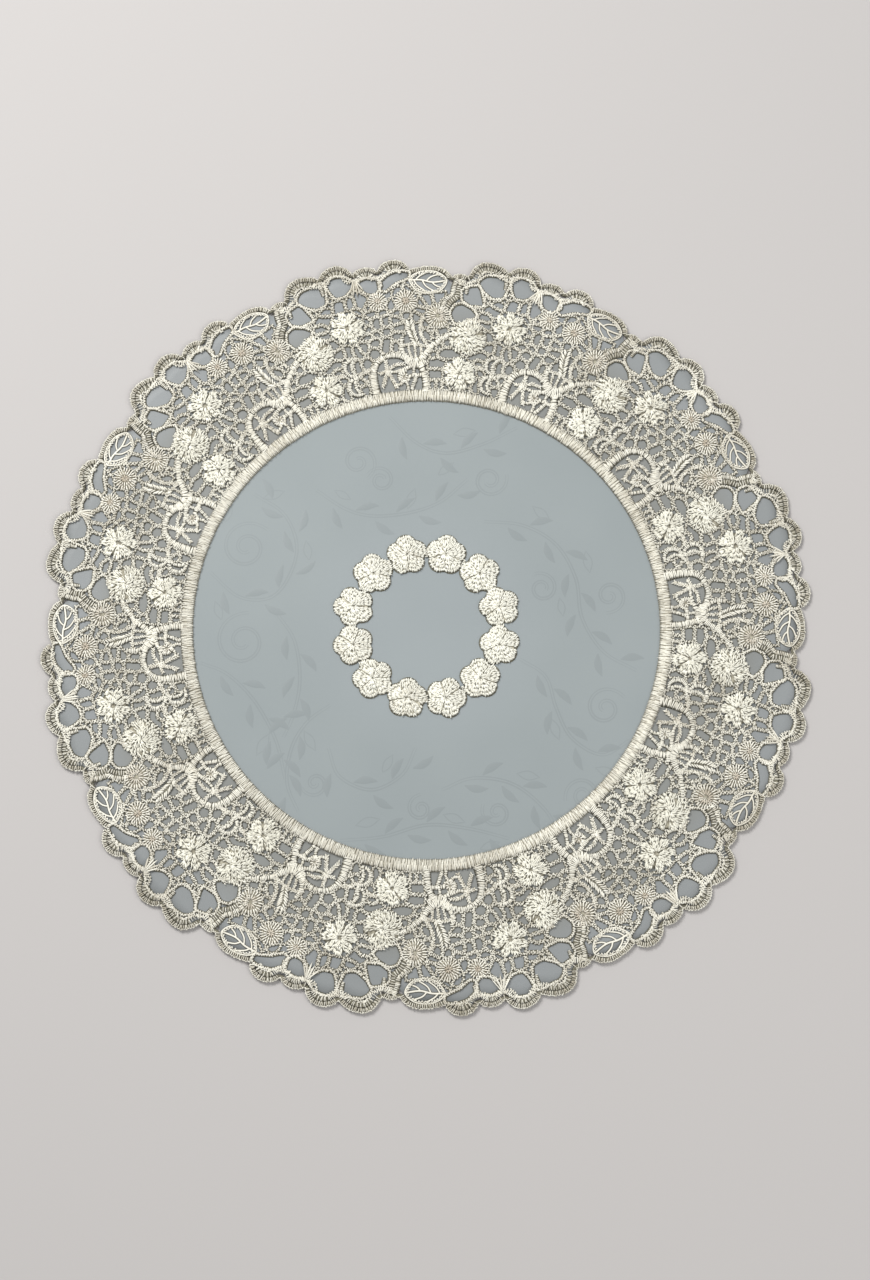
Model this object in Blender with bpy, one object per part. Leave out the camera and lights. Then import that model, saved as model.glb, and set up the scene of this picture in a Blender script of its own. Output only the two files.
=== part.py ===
"""A round lace placemat: a scalloped cloth, a lace border laid on it, a satin heading and a ring of flowers.

Metres, +Z up. The origin is the middle of the underside, which lies flat.
The lace pattern has twelve equal repeats. Places in a repeat are given in degrees clockwise from its daisy.
"""

from math import cos, pi, radians, sin

import bmesh
import bpy
from mathutils import Vector

MM = 0.001

# Driving dimensions
REPEATS = 12
REPEAT_DEG = 360 / REPEATS
FIRST_DAISY_DEG = 15.0

CLOTH_THICKNESS = 1.0 * MM
LACE_THICKNESS = 1.2 * MM
LAY_GAP = 0.3 * MM
CLOTH_INSET = 4.0 * MM

HEADING_INNER_RADIUS = 121.0 * MM
HEADING_WIDTH = 6.4 * MM
HEADING_HEIGHT = 1.6 * MM
HEADING_SHOULDER_SHARE = 0.75
RING_STEPS = 96

FLOWER_RING_RADIUS = 39.1 * MM
FLOWER_RADIUS = 9.9 * MM
FLOWER_LOBE_DEPTH = 1.1 * MM
FLOWER_EDGE_HEIGHT = 1.1 * MM
FLOWER_CROWN_HEIGHT = 2.0 * MM
FLOWER_CROWN_SHARE = 0.55
FLOWER_EYE_HEIGHT = 1.5 * MM
FLOWER_LOBES = 5
POINTS_PER_LOBE = 4
CHAIN_WIDTH = 1.6 * MM
CHAIN_LIFT = 0.15 * MM
CHAIN_HEIGHT = 0.8 * MM

# Worked out from them
LAY_LEVEL = CLOTH_THICKNESS + LAY_GAP
HEADING_OUTER_RADIUS = HEADING_INNER_RADIUS + HEADING_WIDTH
LACE_INNER_RADIUS = HEADING_OUTER_RADIUS + LAY_GAP

# The scalloped edge of one repeat, going clockwise. Each row ends where the next begins.
# name, end in degrees, radius at the end, crown radius, steps
SCALLOP_COLUMNS = ("name", "end_deg", "end_radius", "crown_radius", "steps")
FIRST_VALLEY = (-17.7, 194.4 * MM)
SCALLOPS = (
    ("leaf edge", -10.9, 190.2 * MM, 196.2 * MM, 5),
    ("fan foot", -8.3, 191.3 * MM, 192.4 * MM, 2),
    ("fan crown, first", -2.05, 197.0 * MM, 201.0 * MM, 6),
    ("fan crown, second", 3.3, 195.0 * MM, 202.0 * MM, 6),
    ("small scallop", 7.2, 194.8 * MM, 197.9 * MM, 4),
    ("crescent scallop", 12.3, 194.4 * MM, 200.3 * MM, 5),
)
SCALLOP_FOOT_TURN = radians(18)

# The gaps over 4 mm in one repeat, the largest first. Turn is anticlockwise from the clockwise tangent.
# Taper narrows the far end of the length, and widens the near end.
GAP_COLUMNS = ("name", "deg", "radius", "length", "width", "turn_deg", "taper", "corners")
GAPS = (
    ("fan cell above the daisy, left", -4.4, 188.1 * MM, 12.2 * MM, 12.6 * MM, 68, -0.25, 8),
    ("fan cell above the daisy, right", 0.55, 190.1 * MM, 10.8 * MM, 12.0 * MM, 92, -0.4, 8),
    ("fan cell, lowest", -9.05, 169.9 * MM, 10.8 * MM, 8.4 * MM, 0, 0.4, 8),
    ("fan cell, second", -7.5, 181.4 * MM, 10.8 * MM, 9.4 * MM, -72, 0.0, 8),
    ("fan cell, right", 5.2, 187.3 * MM, 8.4 * MM, 9.6 * MM, 88, -0.3, 8),
    ("crescent", 9.65, 189.2 * MM, 14.2 * MM, 5.2 * MM, 20, -0.2, 8),
    ("beside the inner flower, top", -10.2, 147.6 * MM, 8.4 * MM, 5.6 * MM, 0, 0.0, 6),
    ("beside the inner flower, long", -13.2, 141.3 * MM, 11.2 * MM, 4.2 * MM, 8, -0.3, 6),
    ("beside the inner flower, low", -12.8, 135.7 * MM, 8.6 * MM, 4.4 * MM, -18, 0.2, 6),
    ("over the double arcs", -3.85, 147.9 * MM, 8.6 * MM, 4.6 * MM, 0, 0.0, 6),
    ("between the fan spokes, left", -2.55, 179.3 * MM, 6.8 * MM, 5.2 * MM, 160, 0.0, 6),
    ("between the fan spokes, right", 0.0, 179.4 * MM, 8.2 * MM, 4.6 * MM, 90, 0.0, 6),
    ("left of the daisy, high", -3.6, 174.0 * MM, 9.4 * MM, 4.2 * MM, -28, 0.0, 6),
    ("left of the daisy, low", -4.2, 164.4 * MM, 8.2 * MM, 4.4 * MM, -12, 0.2, 6),
    ("between the inner flower and the arcs", -3.75, 132.3 * MM, 7.6 * MM, 4.2 * MM, -64, -0.2, 6),
    ("over the wheel", 7.0, 152.9 * MM, 7.4 * MM, 4.4 * MM, 80, 0.0, 6),
    ("right of the daisy", 5.7, 165.3 * MM, 7.4 * MM, 4.4 * MM, 88, 0.0, 6),
    ("behind the fan", -12.3, 178.7 * MM, 7.4 * MM, 4.4 * MM, 14, 0.0, 6),
    ("inside the wheel, low", 5.65, 131.0 * MM, 6.0 * MM, 5.6 * MM, 90, 0.5, 5),
    ("inside the wheel, high", 7.5, 143.4 * MM, 8.4 * MM, 4.0 * MM, 0, 0.0, 6),
    ("beside the feather", 9.2, 157.9 * MM, 5.8 * MM, 4.8 * MM, 0, 0.0, 6),
    ("left of the feather", 4.8, 155.2 * MM, 5.8 * MM, 4.8 * MM, 20, 0.0, 6),
    ("beside the wheel leg", 13.15, 131.0 * MM, 6.0 * MM, 5.2 * MM, 90, 0.4, 5),
    ("inside the leaf", -14.75, 190.3 * MM, 5.4 * MM, 4.8 * MM, 20, 0.0, 6),
    ("under the daisy", -2.45, 153.5 * MM, 6.0 * MM, 4.6 * MM, 75, 0.0, 6),
)


def clear_scene():
    for thing in list(bpy.data.objects):
        bpy.data.objects.remove(thing, do_unlink=True)


def rows(columns, table):
    """Each row of a table as a dictionary of its named columns."""
    return [dict(zip(columns, row)) for row in table]


def finish(name, colour, roughness):
    """A plain cloth or thread finish."""
    material = bpy.data.materials.new(name)
    material.use_nodes = True
    shader = material.node_tree.nodes["Principled BSDF"]
    shader.inputs["Base Color"].default_value = (*colour, 1.0)
    shader.inputs["Roughness"].default_value = roughness
    shader.inputs["Metallic"].default_value = 0.0
    return material


def place(repeat, deg, radius, along=0.0, out=0.0):
    """The point at deg and radius of one repeat, moved along, which is clockwise, and out from the middle."""
    turn = radians(FIRST_DAISY_DEG + repeat * REPEAT_DEG - deg)
    outward = Vector((cos(turn), sin(turn)))
    clockwise = Vector((sin(turn), -cos(turn)))
    return outward * (radius + out) + clockwise * along


def scallop_points(row, start_deg, start_radius):
    """(degrees, radius) along one scallop, from its first valley up to but not at its last."""
    low, high = SCALLOP_FOOT_TURN, pi - SCALLOP_FOOT_TURN
    points = []
    for step in range(row["steps"]):
        share = step / row["steps"]
        turn = high + (low - high) * share
        across = 0.5 + 0.5 * cos(turn) / cos(low)
        rise = (sin(turn) - sin(low)) / (1 - sin(low))
        deg = start_deg + (row["end_deg"] - start_deg) * across
        foot = start_radius + (row["end_radius"] - start_radius) * across
        points.append((deg, foot + (row["crown_radius"] - foot) * rise))
    return points


def scalloped_outline(inset):
    """The mat's outline, drawn in by inset, clockwise through all the repeats."""
    one_repeat = []
    deg, radius = FIRST_VALLEY
    for row in rows(SCALLOP_COLUMNS, SCALLOPS):
        one_repeat += scallop_points(row, deg, radius)
        deg, radius = row["end_deg"], row["end_radius"]
    return [
        place(-repeat, deg, radius - inset)
        for repeat in range(REPEATS)
        for deg, radius in one_repeat
    ]


def gap_outline(repeat, gap):
    """One gap of the net: an even polygon, stretched to its length and width and tapered."""
    turn = radians(gap["turn_deg"])
    points = []
    for corner in range(gap["corners"]):
        around = 2 * pi * corner / gap["corners"]
        long_way = cos(around) * gap["length"] / 2
        wide_way = sin(around) * gap["width"] / 2 * (1 - gap["taper"] * cos(around))
        along = long_way * cos(turn) - wide_way * sin(turn)
        out = long_way * sin(turn) + wide_way * cos(turn)
        points.append(place(repeat, gap["deg"], gap["radius"], along, out))
    return points


def circle(radius):
    return [
        Vector((cos(2 * pi * step / RING_STEPS), sin(2 * pi * step / RING_STEPS))) * radius
        for step in range(RING_STEPS)
    ]


def flat_sheet(name, outlines, thickness, level, material):
    """A flat sheet cut to closed outlines: the first is its edge and the others are holes."""
    curve = bpy.data.curves.new(name, "CURVE")
    curve.dimensions = "2D"
    curve.fill_mode = "BOTH"
    curve.extrude = thickness / 2
    for outline in outlines:
        spline = curve.splines.new("POLY")
        spline.points.add(len(outline) - 1)
        for point, corner in zip(spline.points, outline):
            point.co = (*corner, 0.0, 1.0)
        spline.use_cyclic_u = True
    sheet = bpy.data.objects.new(name, curve)
    sheet.location.z = level + thickness / 2
    curve.materials.append(material)
    bpy.context.collection.objects.link(sheet)
    return sheet


def mesh_object(name, form, material):
    mesh = bpy.data.meshes.new(name)
    form.to_mesh(mesh)
    form.free()
    thing = bpy.data.objects.new(name, mesh)
    mesh.materials.append(material)
    bpy.context.collection.objects.link(thing)
    return thing


def turned_ring(profile, steps):
    """A closed profile of (radius, height) points, spun once about Z."""
    form = bmesh.new()
    corners = [form.verts.new((radius, 0.0, height)) for radius, height in profile]
    edges = [form.edges.new((corners[i], corners[i - 1])) for i in range(len(corners))]
    bmesh.ops.spin(
        form,
        geom=corners + edges,
        cent=(0, 0, 0),
        axis=(0, 0, 1),
        angle=2 * pi,
        steps=steps,
        use_merge=True,
    )
    bmesh.ops.remove_doubles(form, verts=form.verts, dist=1e-6)
    bmesh.ops.recalc_face_normals(form, faces=form.faces)
    return form


def ground_cloth():
    """The patterned cloth, cut back under the lace's rim, whose eyelets are open."""
    return flat_sheet(
        "ground_cloth",
        [scalloped_outline(CLOTH_INSET)],
        CLOTH_THICKNESS,
        0.0,
        finish("blue_grey_damask", (0.36, 0.42, 0.45), 0.6),
    )


def lace_border(thread):
    """The openwork border, with the wider gaps of every repeat cut through."""
    gaps = [
        gap_outline(repeat, gap)
        for repeat in range(REPEATS)
        for gap in rows(GAP_COLUMNS, GAPS)
    ]
    edges = [scalloped_outline(0.0), circle(LACE_INNER_RADIUS)]
    return flat_sheet("lace_border", edges + gaps, LACE_THICKNESS, LAY_LEVEL, thread)


def satin_heading(thread):
    """The raised satin band that covers the lace's inner edge: flat below and crowned above."""
    shoulder_width = HEADING_WIDTH / 8
    shoulder_height = HEADING_HEIGHT * HEADING_SHOULDER_SHARE
    profile = (
        (HEADING_INNER_RADIUS, 0.0),
        (HEADING_OUTER_RADIUS, 0.0),
        (HEADING_OUTER_RADIUS - shoulder_width, shoulder_height),
        (HEADING_INNER_RADIUS + HEADING_WIDTH / 2, HEADING_HEIGHT),
        (HEADING_INNER_RADIUS + shoulder_width, shoulder_height),
    )
    heading = mesh_object("satin_heading", turned_ring(profile, RING_STEPS), thread)
    heading.location.z = LAY_LEVEL
    return heading


def add_flower(form, centre, turn):
    """One five-lobed flower, domed, with a low eye in its middle."""
    corners = FLOWER_LOBES * POINTS_PER_LOBE
    levels = (
        (1.0, 0.0),
        (1.0, FLOWER_EDGE_HEIGHT),
        (FLOWER_CROWN_SHARE, FLOWER_CROWN_HEIGHT),
    )
    loops = []
    for share, height in levels:
        loop = []
        for corner in range(corners):
            around = 2 * pi * corner / corners
            lobe = FLOWER_LOBE_DEPTH * (1 - abs(cos(FLOWER_LOBES * around / 2)))
            radius = (FLOWER_RADIUS - lobe) * share
            offset = Vector((cos(around + turn), sin(around + turn), 0.0)) * radius
            loop.append(form.verts.new(centre + offset + Vector((0, 0, height))))
        loops.append(loop)
    form.faces.new(list(reversed(loops[0])))
    for lower, upper in zip(loops, loops[1:]):
        for i in range(corners):
            form.faces.new((lower[i - 1], lower[i], upper[i], upper[i - 1]))
    eye = form.verts.new(centre + Vector((0, 0, FLOWER_EYE_HEIGHT)))
    for i in range(corners):
        form.faces.new((loops[-1][i - 1], loops[-1][i], eye))


def flower_ring(thread):
    """A chain of flowers closed into a ring: the joining cord runs through them all."""
    flowers = bmesh.new()
    for repeat in range(REPEATS):
        heading = radians(FIRST_DAISY_DEG + repeat * REPEAT_DEG)
        centre = Vector((cos(heading), sin(heading), 0.0)) * FLOWER_RING_RADIUS
        add_flower(flowers, centre, heading)
    flower_set = mesh_object("flower_set", flowers, thread)
    flower_set.hide_render = True
    flower_set.display_type = "WIRE"
    inner = FLOWER_RING_RADIUS - CHAIN_WIDTH / 2
    outer = FLOWER_RING_RADIUS + CHAIN_WIDTH / 2
    top = CHAIN_LIFT + CHAIN_HEIGHT
    profile = ((inner, CHAIN_LIFT), (outer, CHAIN_LIFT), (outer, top), (inner, top))
    cord = turned_ring(profile, 2 * REPEATS)
    ring = mesh_object("flower_ring", cord, thread)
    ring.location.z = LAY_LEVEL
    flower_set.location.z = LAY_LEVEL
    join = ring.modifiers.new("flowers on the cord", "BOOLEAN")
    join.operation = "UNION"
    join.solver = "EXACT"
    join.object = flower_set
    return ring


def main():
    clear_scene()
    thread = finish("cream_thread", (0.78, 0.74, 0.62), 0.45)
    ground_cloth()
    lace_border(thread)
    satin_heading(thread)
    flower_ring(thread)


main()
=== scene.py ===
# A round lace placemat: patterned cloth, an openwork lace border, a satin heading and a ring of lace flowers.
# Lengths are in millimetres and angles in degrees until a mesh is made.
import math

import bmesh
import bpy
import numpy as np
from mathutils import Matrix, Vector


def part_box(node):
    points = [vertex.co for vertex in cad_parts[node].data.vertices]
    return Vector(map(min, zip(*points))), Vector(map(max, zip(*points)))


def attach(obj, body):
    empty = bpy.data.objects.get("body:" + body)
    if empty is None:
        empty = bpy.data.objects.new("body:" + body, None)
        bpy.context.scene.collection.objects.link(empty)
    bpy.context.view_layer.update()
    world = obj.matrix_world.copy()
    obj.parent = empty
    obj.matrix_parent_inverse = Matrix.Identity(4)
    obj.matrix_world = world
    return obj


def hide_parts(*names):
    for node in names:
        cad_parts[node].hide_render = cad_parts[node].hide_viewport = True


mm = 0.001
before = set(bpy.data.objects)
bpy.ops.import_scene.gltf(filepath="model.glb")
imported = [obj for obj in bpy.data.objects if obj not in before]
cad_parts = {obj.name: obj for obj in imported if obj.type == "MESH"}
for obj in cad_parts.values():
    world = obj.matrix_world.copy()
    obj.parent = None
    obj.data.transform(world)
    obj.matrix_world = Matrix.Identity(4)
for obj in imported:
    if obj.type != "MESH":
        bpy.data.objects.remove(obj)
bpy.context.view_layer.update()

layout = {
    "repeats": 12,
    "firstDaisy": 15.0,  # anticlockwise from +X; in a repeat, places are degrees clockwise from its daisy
    "clothTop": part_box("ground_cloth")[1].z / mm,
    "laceInner": 127.0,
}
layout["turn"] = 360 / layout["repeats"]
layout["turns"] = [layout["firstDaisy"] + k * layout["turn"] for k in range(layout["repeats"])]
clothTop = layout["clothTop"]


# Places and paths

def spot(place):  # the point of a repeat whose daisy lies along +X
    deg, radius = place
    return np.array([radius * math.cos(math.radians(deg)), -radius * math.sin(math.radians(deg))])


def spots(places):
    return np.array([spot(place) for place in places])


def pointing(degrees):
    return np.stack([np.cos(np.radians(degrees)), np.sin(np.radians(degrees))], axis=-1)


def bearing(aim):
    return np.degrees(np.arctan2(aim[:, 1], aim[:, 0]))


def spun(points, degrees):
    c, s = math.cos(math.radians(degrees)), math.sin(math.radians(degrees))
    return points @ np.array([[c, s], [-s, c]])


def smoothPath(points, closed=False, steps=8):  # a rounded line through the points
    count = len(points)
    rounded = []
    for i in range(count if closed else count - 1):
        if closed:
            a, b, c, d = (points[(i + k) % count] for k in (-1, 0, 1, 2))
        else:
            b, c = points[i], points[i + 1]
            a = points[i - 1] if i else 2 * b - c
            d = points[i + 2] if i + 2 < count else 2 * c - b
        for step in range(steps):
            t = step / steps
            straight = (c - a) * t
            bent = (2 * a - 5 * b + 4 * c - d) * t**2
            twisted = (3 * b - a - 3 * c + d) * t**3
            rounded.append(0.5 * (2 * b + straight + bent + twisted))
    if not closed:
        rounded.append(points[-1])
    return np.array(rounded)


def softCorners(points, share):  # a closed outline with its corners cut twice
    for _ in range(2):
        following = np.roll(points, -1, axis=0)
        step = (following - points) * share
        points = np.stack([points + step, following - step], axis=1).reshape(-1, 2)
    return points


def evenly(path, pitch, closed=False):  # points, directions and shares of the way, a pitch apart
    near = 0.3  # a direction is taken from this far before a point to this far after it
    line = np.vstack([path, path[:1]]) if closed else path
    runs = np.linalg.norm(np.diff(line, axis=0), axis=1)
    far = np.concatenate([[0], np.cumsum(runs)])
    count = max(2, int(round(far[-1] / pitch)))
    at = np.linspace(0, far[-1], count + 1)
    at = at[:-1] if closed else at
    points, ahead, behind = (
        np.stack([np.interp(np.clip(at + shift, 0, far[-1]), far, line[:, k]) for k in (0, 1)], axis=1)
        for shift in (0, near, -near)
    )
    aim = ahead - behind
    aim /= np.linalg.norm(aim, axis=1, keepdims=True)
    return points, aim, at / far[-1]


def along(values, shares):  # a width that may change along a path
    values = np.atleast_1d(np.array(values, float))
    return np.interp(shares, np.linspace(0, 1, len(values)), values)


def sideways(aim):  # the left of each direction
    return np.stack([-aim[:, 1], aim[:, 0]], axis=1)


def beside(path, distance, pitch=1.0, closed=False):  # a path along another, to its left
    points, aim, _ = evenly(path, pitch, closed)
    return points + sideways(aim) * distance


# Stitches. Each row is x, y, level, turn, length, width, arch, thickness, shade

def rowsOf(points, level, turn, length, width, arch=0.1, thickness=0.6, shade=0.0):
    columns = [np.broadcast_to(np.asarray(value, float), (len(points),))
               for value in (level, turn, length, width, arch, thickness, shade)]
    columns[4] = columns[4] * columns[2]  # the arch is a share of the length
    return np.column_stack([points, *columns])


def crossStitches(path, width, pitch, level, arch, thread, closed=False, shade=0.0):  # square to a path
    points, aim, shares = evenly(path, pitch, closed)
    return rowsOf(points, level, bearing(aim) + 90, along(width, shares), thread, arch, 0.7, shade)


def plaitStitches(path, length, pitch, level, lean, spread, thread=0.78, closed=False):  # to and fro over it
    points, aim, _ = evenly(path, pitch, closed)
    side = np.where(np.arange(len(points)) % 2 == 0, 1.0, -1.0)
    points = points + sideways(aim) * side[:, None] * spread
    return rowsOf(points, level, bearing(aim) + side * lean, length, thread, 0.08, 0.7)


def spokeStitches(centre, inner, outer, count, level, arch=0.1, thread=0.72, shade=0.0):  # round a centre
    around = 360 * (np.arange(count) + 0.5) / count
    points = centre + pointing(around) * (inner + outer) / 2
    return rowsOf(points, level, around, outer - inner, thread, arch, 0.65, shade)


def formArrays(form):
    form.verts.index_update()
    corners = np.array([vert.co for vert in form.verts])
    faces = np.array([[vert.index for vert in face.verts] for face in form.faces])
    form.free()
    return corners, faces


def stitchForm():  # one stitch: a slim closed spindle with a ridge on top, 12 faces
    form = bmesh.new()
    bmesh.ops.create_uvsphere(form, u_segments=3, v_segments=3, radius=1.0)
    onItsSide = Matrix.Rotation(math.radians(-90), 3, "Y")
    bmesh.ops.rotate(form, verts=form.verts, cent=(0, 0, 0), matrix=onItsSide)
    bmesh.ops.triangulate(form, faces=form.faces)
    corners, faces = formArrays(form)
    corners[:, 1:] *= 1.3  # flat sides look slimmer than a round one
    return corners, faces


stitchCorners, stitchFaces = stitchForm()


def turned(rows, degrees):
    moved = rows.copy()
    moved[:, :2] = spun(rows[:, :2], degrees)
    moved[:, 3] += degrees
    return moved


everyStitch = {"level": 0.04, "width": 0.08, "shade": 0.5}  # how far one stitch differs from the next


def unevenly(rows, rng, wander, swing, stretch):
    moved = rows.copy()
    count = len(rows)
    moved[:, 0:2] += rng.normal(0, wander, (count, 2))
    moved[:, 2] += rng.normal(0, everyStitch["level"], count)
    moved[:, 3] += rng.normal(0, swing, count)
    moved[:, 4] *= 1 + rng.normal(0, stretch, count)
    moved[:, 5] *= 1 + rng.normal(0, everyStitch["width"], count)
    moved[:, 8] += rng.uniform(-everyStitch["shade"], everyStitch["shade"], count)
    return moved


def aroundTheMat(rows, rng, wander, swing, stretch):  # copies to every repeat, a little uneven
    copies = [turned(rows, turn) for turn in layout["turns"]]
    return unevenly(np.vstack(copies), rng, wander, swing, stretch)


def sew(name, rows, material):  # one joined mesh of stitches
    count, size = len(rows), len(stitchCorners)
    x, y, level, turn, length, width, arch, thickness, shade = (rows[:, [k]] for k in range(9))
    u, v, w = stitchCorners.T
    far = 0.5 * length * u
    side = 0.5 * width * v
    height = level + 0.5 * thickness * w + arch * (1 - u**2)
    c, s = np.cos(np.radians(turn)), np.sin(np.radians(turn))
    corners = np.stack([x + far * c - side * s, y + far * s + side * c, height], axis=2).reshape(-1, 3)
    faces = (stitchFaces[None] + size * np.arange(count)[:, None, None]).reshape(-1, 3)
    strand = np.stack(np.broadcast_arrays(far, v, shade), axis=2).reshape(-1, 3)
    return meshPiece(name, corners, faces, material, strand)


def meshPiece(name, corners, faces, material, strand=None, smooth=True):
    mesh = bpy.data.meshes.new(name)
    mesh.from_pydata((corners * mm).tolist(), [], faces.tolist())
    if strand is not None:
        layer = mesh.attributes.new("strand", "FLOAT_VECTOR", "POINT")
        layer.data.foreach_set("vector", strand.astype(np.float32).ravel())
    mesh.update()
    if smooth:
        mesh.shade_smooth()
    mesh.materials.append(material)
    piece = bpy.data.objects.new(name, mesh)
    bpy.context.collection.objects.link(piece)
    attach(piece, "root")
    return piece


# Padding under the stitches: ribbons with a low crown, and mounds under the flowers

def crownProfile(rise):
    outline = ((-1, 0), (-0.6, 0.75 * rise), (0, rise), (0.6, 0.75 * rise), (1, 0))
    curve = bpy.data.curves.new("crown", "CURVE")
    spline = curve.splines.new("POLY")
    spline.points.add(len(outline) - 1)
    for point, place in zip(spline.points, outline):
        point.co = (*place, 0, 1)
    spline.use_cyclic_u = True
    profile = bpy.data.objects.new("crown", curve)
    bpy.context.collection.objects.link(profile)
    return profile


def ribbonMesh(ribbons, rise):  # each ribbon is a path, its half widths, its level and whether it closes
    profile = crownProfile(rise)
    curve = bpy.data.curves.new("padding", "CURVE")
    curve.dimensions = "3D"
    curve.twist_mode = "Z_UP"
    curve.bevel_mode = "OBJECT"
    curve.bevel_object = profile
    curve.use_fill_caps = True
    for path, halfWidths, level, closed in ribbons:
        spline = curve.splines.new("POLY")
        spline.points.add(len(path) - 1)
        for point, place, half in zip(spline.points, path, halfWidths):
            point.co = (place[0], place[1], level, 1)
            point.radius = half
        spline.use_cyclic_u = closed
    piece = bpy.data.objects.new("padding", curve)
    bpy.context.collection.objects.link(piece)
    shaped = piece.evaluated_get(bpy.context.evaluated_depsgraph_get())
    form = bmesh.new()
    form.from_mesh(bpy.data.meshes.new_from_object(shaped))
    bmesh.ops.remove_doubles(form, verts=form.verts, dist=0.001)
    bmesh.ops.triangulate(form, faces=form.faces)
    bpy.data.objects.remove(piece)
    bpy.data.objects.remove(profile)
    return formArrays(form)


def ribbon(path, width, level, pitch=1.6, closed=False):
    points, _, shares = evenly(path, pitch, closed)
    return points, along(width, shares) / 2, level, closed


def moundForm():  # a low closed dome, 1 in radius
    form = bmesh.new()
    bmesh.ops.create_uvsphere(form, u_segments=32, v_segments=6, radius=1.0)
    bmesh.ops.triangulate(form, faces=form.faces)
    corners, faces = formArrays(form)
    corners[corners[:, 2] < 0, 2] *= 0.05
    return corners, faces


moundCorners, moundFaces = moundForm()


def moundMesh(centre, look, level):
    around = np.arctan2(moundCorners[:, 1], moundCorners[:, 0])
    reach = flowerReach(look, around) * look.get("padShare", 0.95)
    places = centre + moundCorners[:, :2] * reach[:, None]
    return np.column_stack([places, level + moundCorners[:, 2] * look["rise"]]), moundFaces


def joined(parts):
    corners, faces, start = [], [], 0
    for partCorners, partFaces in parts:
        corners.append(partCorners)
        faces.append(partFaces + start)
        start += len(partCorners)
    return np.vstack(corners), np.vstack(faces)


def padding(name, parts, material, everyRepeat=True):
    corners, faces = joined(parts)
    if everyRepeat:
        corners, faces = joined([(np.column_stack([spun(corners[:, :2], turn), corners[:, 2]]), faces)
                                 for turn in layout["turns"]])
    return meshPiece(name, corners, faces, material)


# Materials

def newMaterial(name):
    material = bpy.data.materials.new(name)
    material.use_nodes = True
    return material, material.node_tree.nodes, material.node_tree.links


def colourRamp(nodes, dark, light, low, high):
    ramp = nodes.new("ShaderNodeValToRGB")
    ramp.color_ramp.elements[0].position = low
    ramp.color_ramp.elements[0].color = (*dark, 1)
    ramp.color_ramp.elements[1].position = high
    ramp.color_ramp.elements[1].color = (*light, 1)
    return ramp


def bumpFrom(nodes, links, height, shader, strength, depth):
    bump = nodes.new("ShaderNodeBump")
    bump.inputs["Strength"].default_value = strength
    bump.inputs["Distance"].default_value = depth * mm
    links.new(height, bump.inputs["Height"])
    links.new(bump.outputs["Normal"], shader.inputs["Normal"])


def threadMaterial(name, look):
    material, nodes, links = newMaterial(name)
    shader = nodes["Principled BSDF"]
    shader.inputs["Roughness"].default_value = look["roughness"]
    shader.inputs["Sheen Weight"].default_value = look["sheen"]
    shader.inputs["Sheen Roughness"].default_value = 0.4
    shader.inputs["Specular IOR Level"].default_value = look["gloss"]
    strand = nodes.new("ShaderNodeAttribute")
    strand.attribute_name = "strand"
    apart = nodes.new("ShaderNodeSeparateXYZ")
    links.new(strand.outputs["Vector"], apart.inputs["Vector"])
    place = nodes.new("ShaderNodeTexCoord")
    patches = nodes.new("ShaderNodeTexNoise")
    patches.inputs["Scale"].default_value = look["patchScale"]
    links.new(place.outputs["Object"], patches.inputs["Vector"])
    tone = nodes.new("ShaderNodeMath")
    tone.operation = "MULTIPLY_ADD"
    tone.inputs[1].default_value = 0.45
    links.new(apart.outputs["Z"], tone.inputs[0])
    links.new(patches.outputs["Fac"], tone.inputs[2])
    ramp = colourRamp(nodes, look["shadeColour"], look["lightColour"], 0.0, 0.7)
    links.new(tone.outputs[0], ramp.inputs["Fac"])
    links.new(ramp.outputs["Color"], shader.inputs["Base Color"])
    fibres = nodes.new("ShaderNodeTexNoise")
    fibres.inputs["Scale"].default_value = 1.0
    fibres.inputs["Detail"].default_value = 1.0
    stretch = nodes.new("ShaderNodeMapping")
    stretch.inputs["Scale"].default_value = (0.5, 5.0, 9.0)
    links.new(strand.outputs["Vector"], stretch.inputs["Vector"])
    links.new(stretch.outputs["Vector"], fibres.inputs["Vector"])
    bumpFrom(nodes, links, fibres.outputs["Fac"], shader, look["fibre"], 0.1)
    return material


def padMaterial(name, lightColour, shadeColour, roughness):
    material, nodes, links = newMaterial(name)
    shader = nodes["Principled BSDF"]
    shader.inputs["Roughness"].default_value = roughness
    place = nodes.new("ShaderNodeTexCoord")
    grain = nodes.new("ShaderNodeTexNoise")
    grain.inputs["Scale"].default_value = 900.0
    links.new(place.outputs["Object"], grain.inputs["Vector"])
    ramp = colourRamp(nodes, shadeColour, lightColour, 0.35, 0.65)
    links.new(grain.outputs["Fac"], ramp.inputs["Fac"])
    links.new(ramp.outputs["Color"], shader.inputs["Base Color"])
    bumpFrom(nodes, links, grain.outputs["Fac"], shader, 0.5, 0.15)
    return material


laceThread = threadMaterial("laceThread", {
    "lightColour": (0.88, 0.855, 0.75), "shadeColour": (0.48, 0.435, 0.34), "roughness": 0.5, "sheen": 0.2,
    "gloss": 0.4, "patchScale": 25.0, "fibre": 0.5,
})
netThread = threadMaterial("netThread", {
    "lightColour": (0.87, 0.845, 0.74), "shadeColour": (0.45, 0.41, 0.32), "roughness": 0.5, "sheen": 0.2,
    "gloss": 0.35, "patchScale": 25.0, "fibre": 0.5,
})
satinThread = threadMaterial("satinThread", {
    "lightColour": (0.92, 0.905, 0.8), "shadeColour": (0.6, 0.555, 0.44), "roughness": 0.42, "sheen": 0.25,
    "gloss": 0.5, "patchScale": 30.0, "fibre": 0.4,
})
rosetteThread = threadMaterial("rosetteThread", {
    "lightColour": (0.93, 0.9, 0.795), "shadeColour": (0.6, 0.525, 0.415), "roughness": 0.45, "sheen": 0.25,
    "gloss": 0.45, "patchScale": 30.0, "fibre": 0.4,
})
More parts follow.
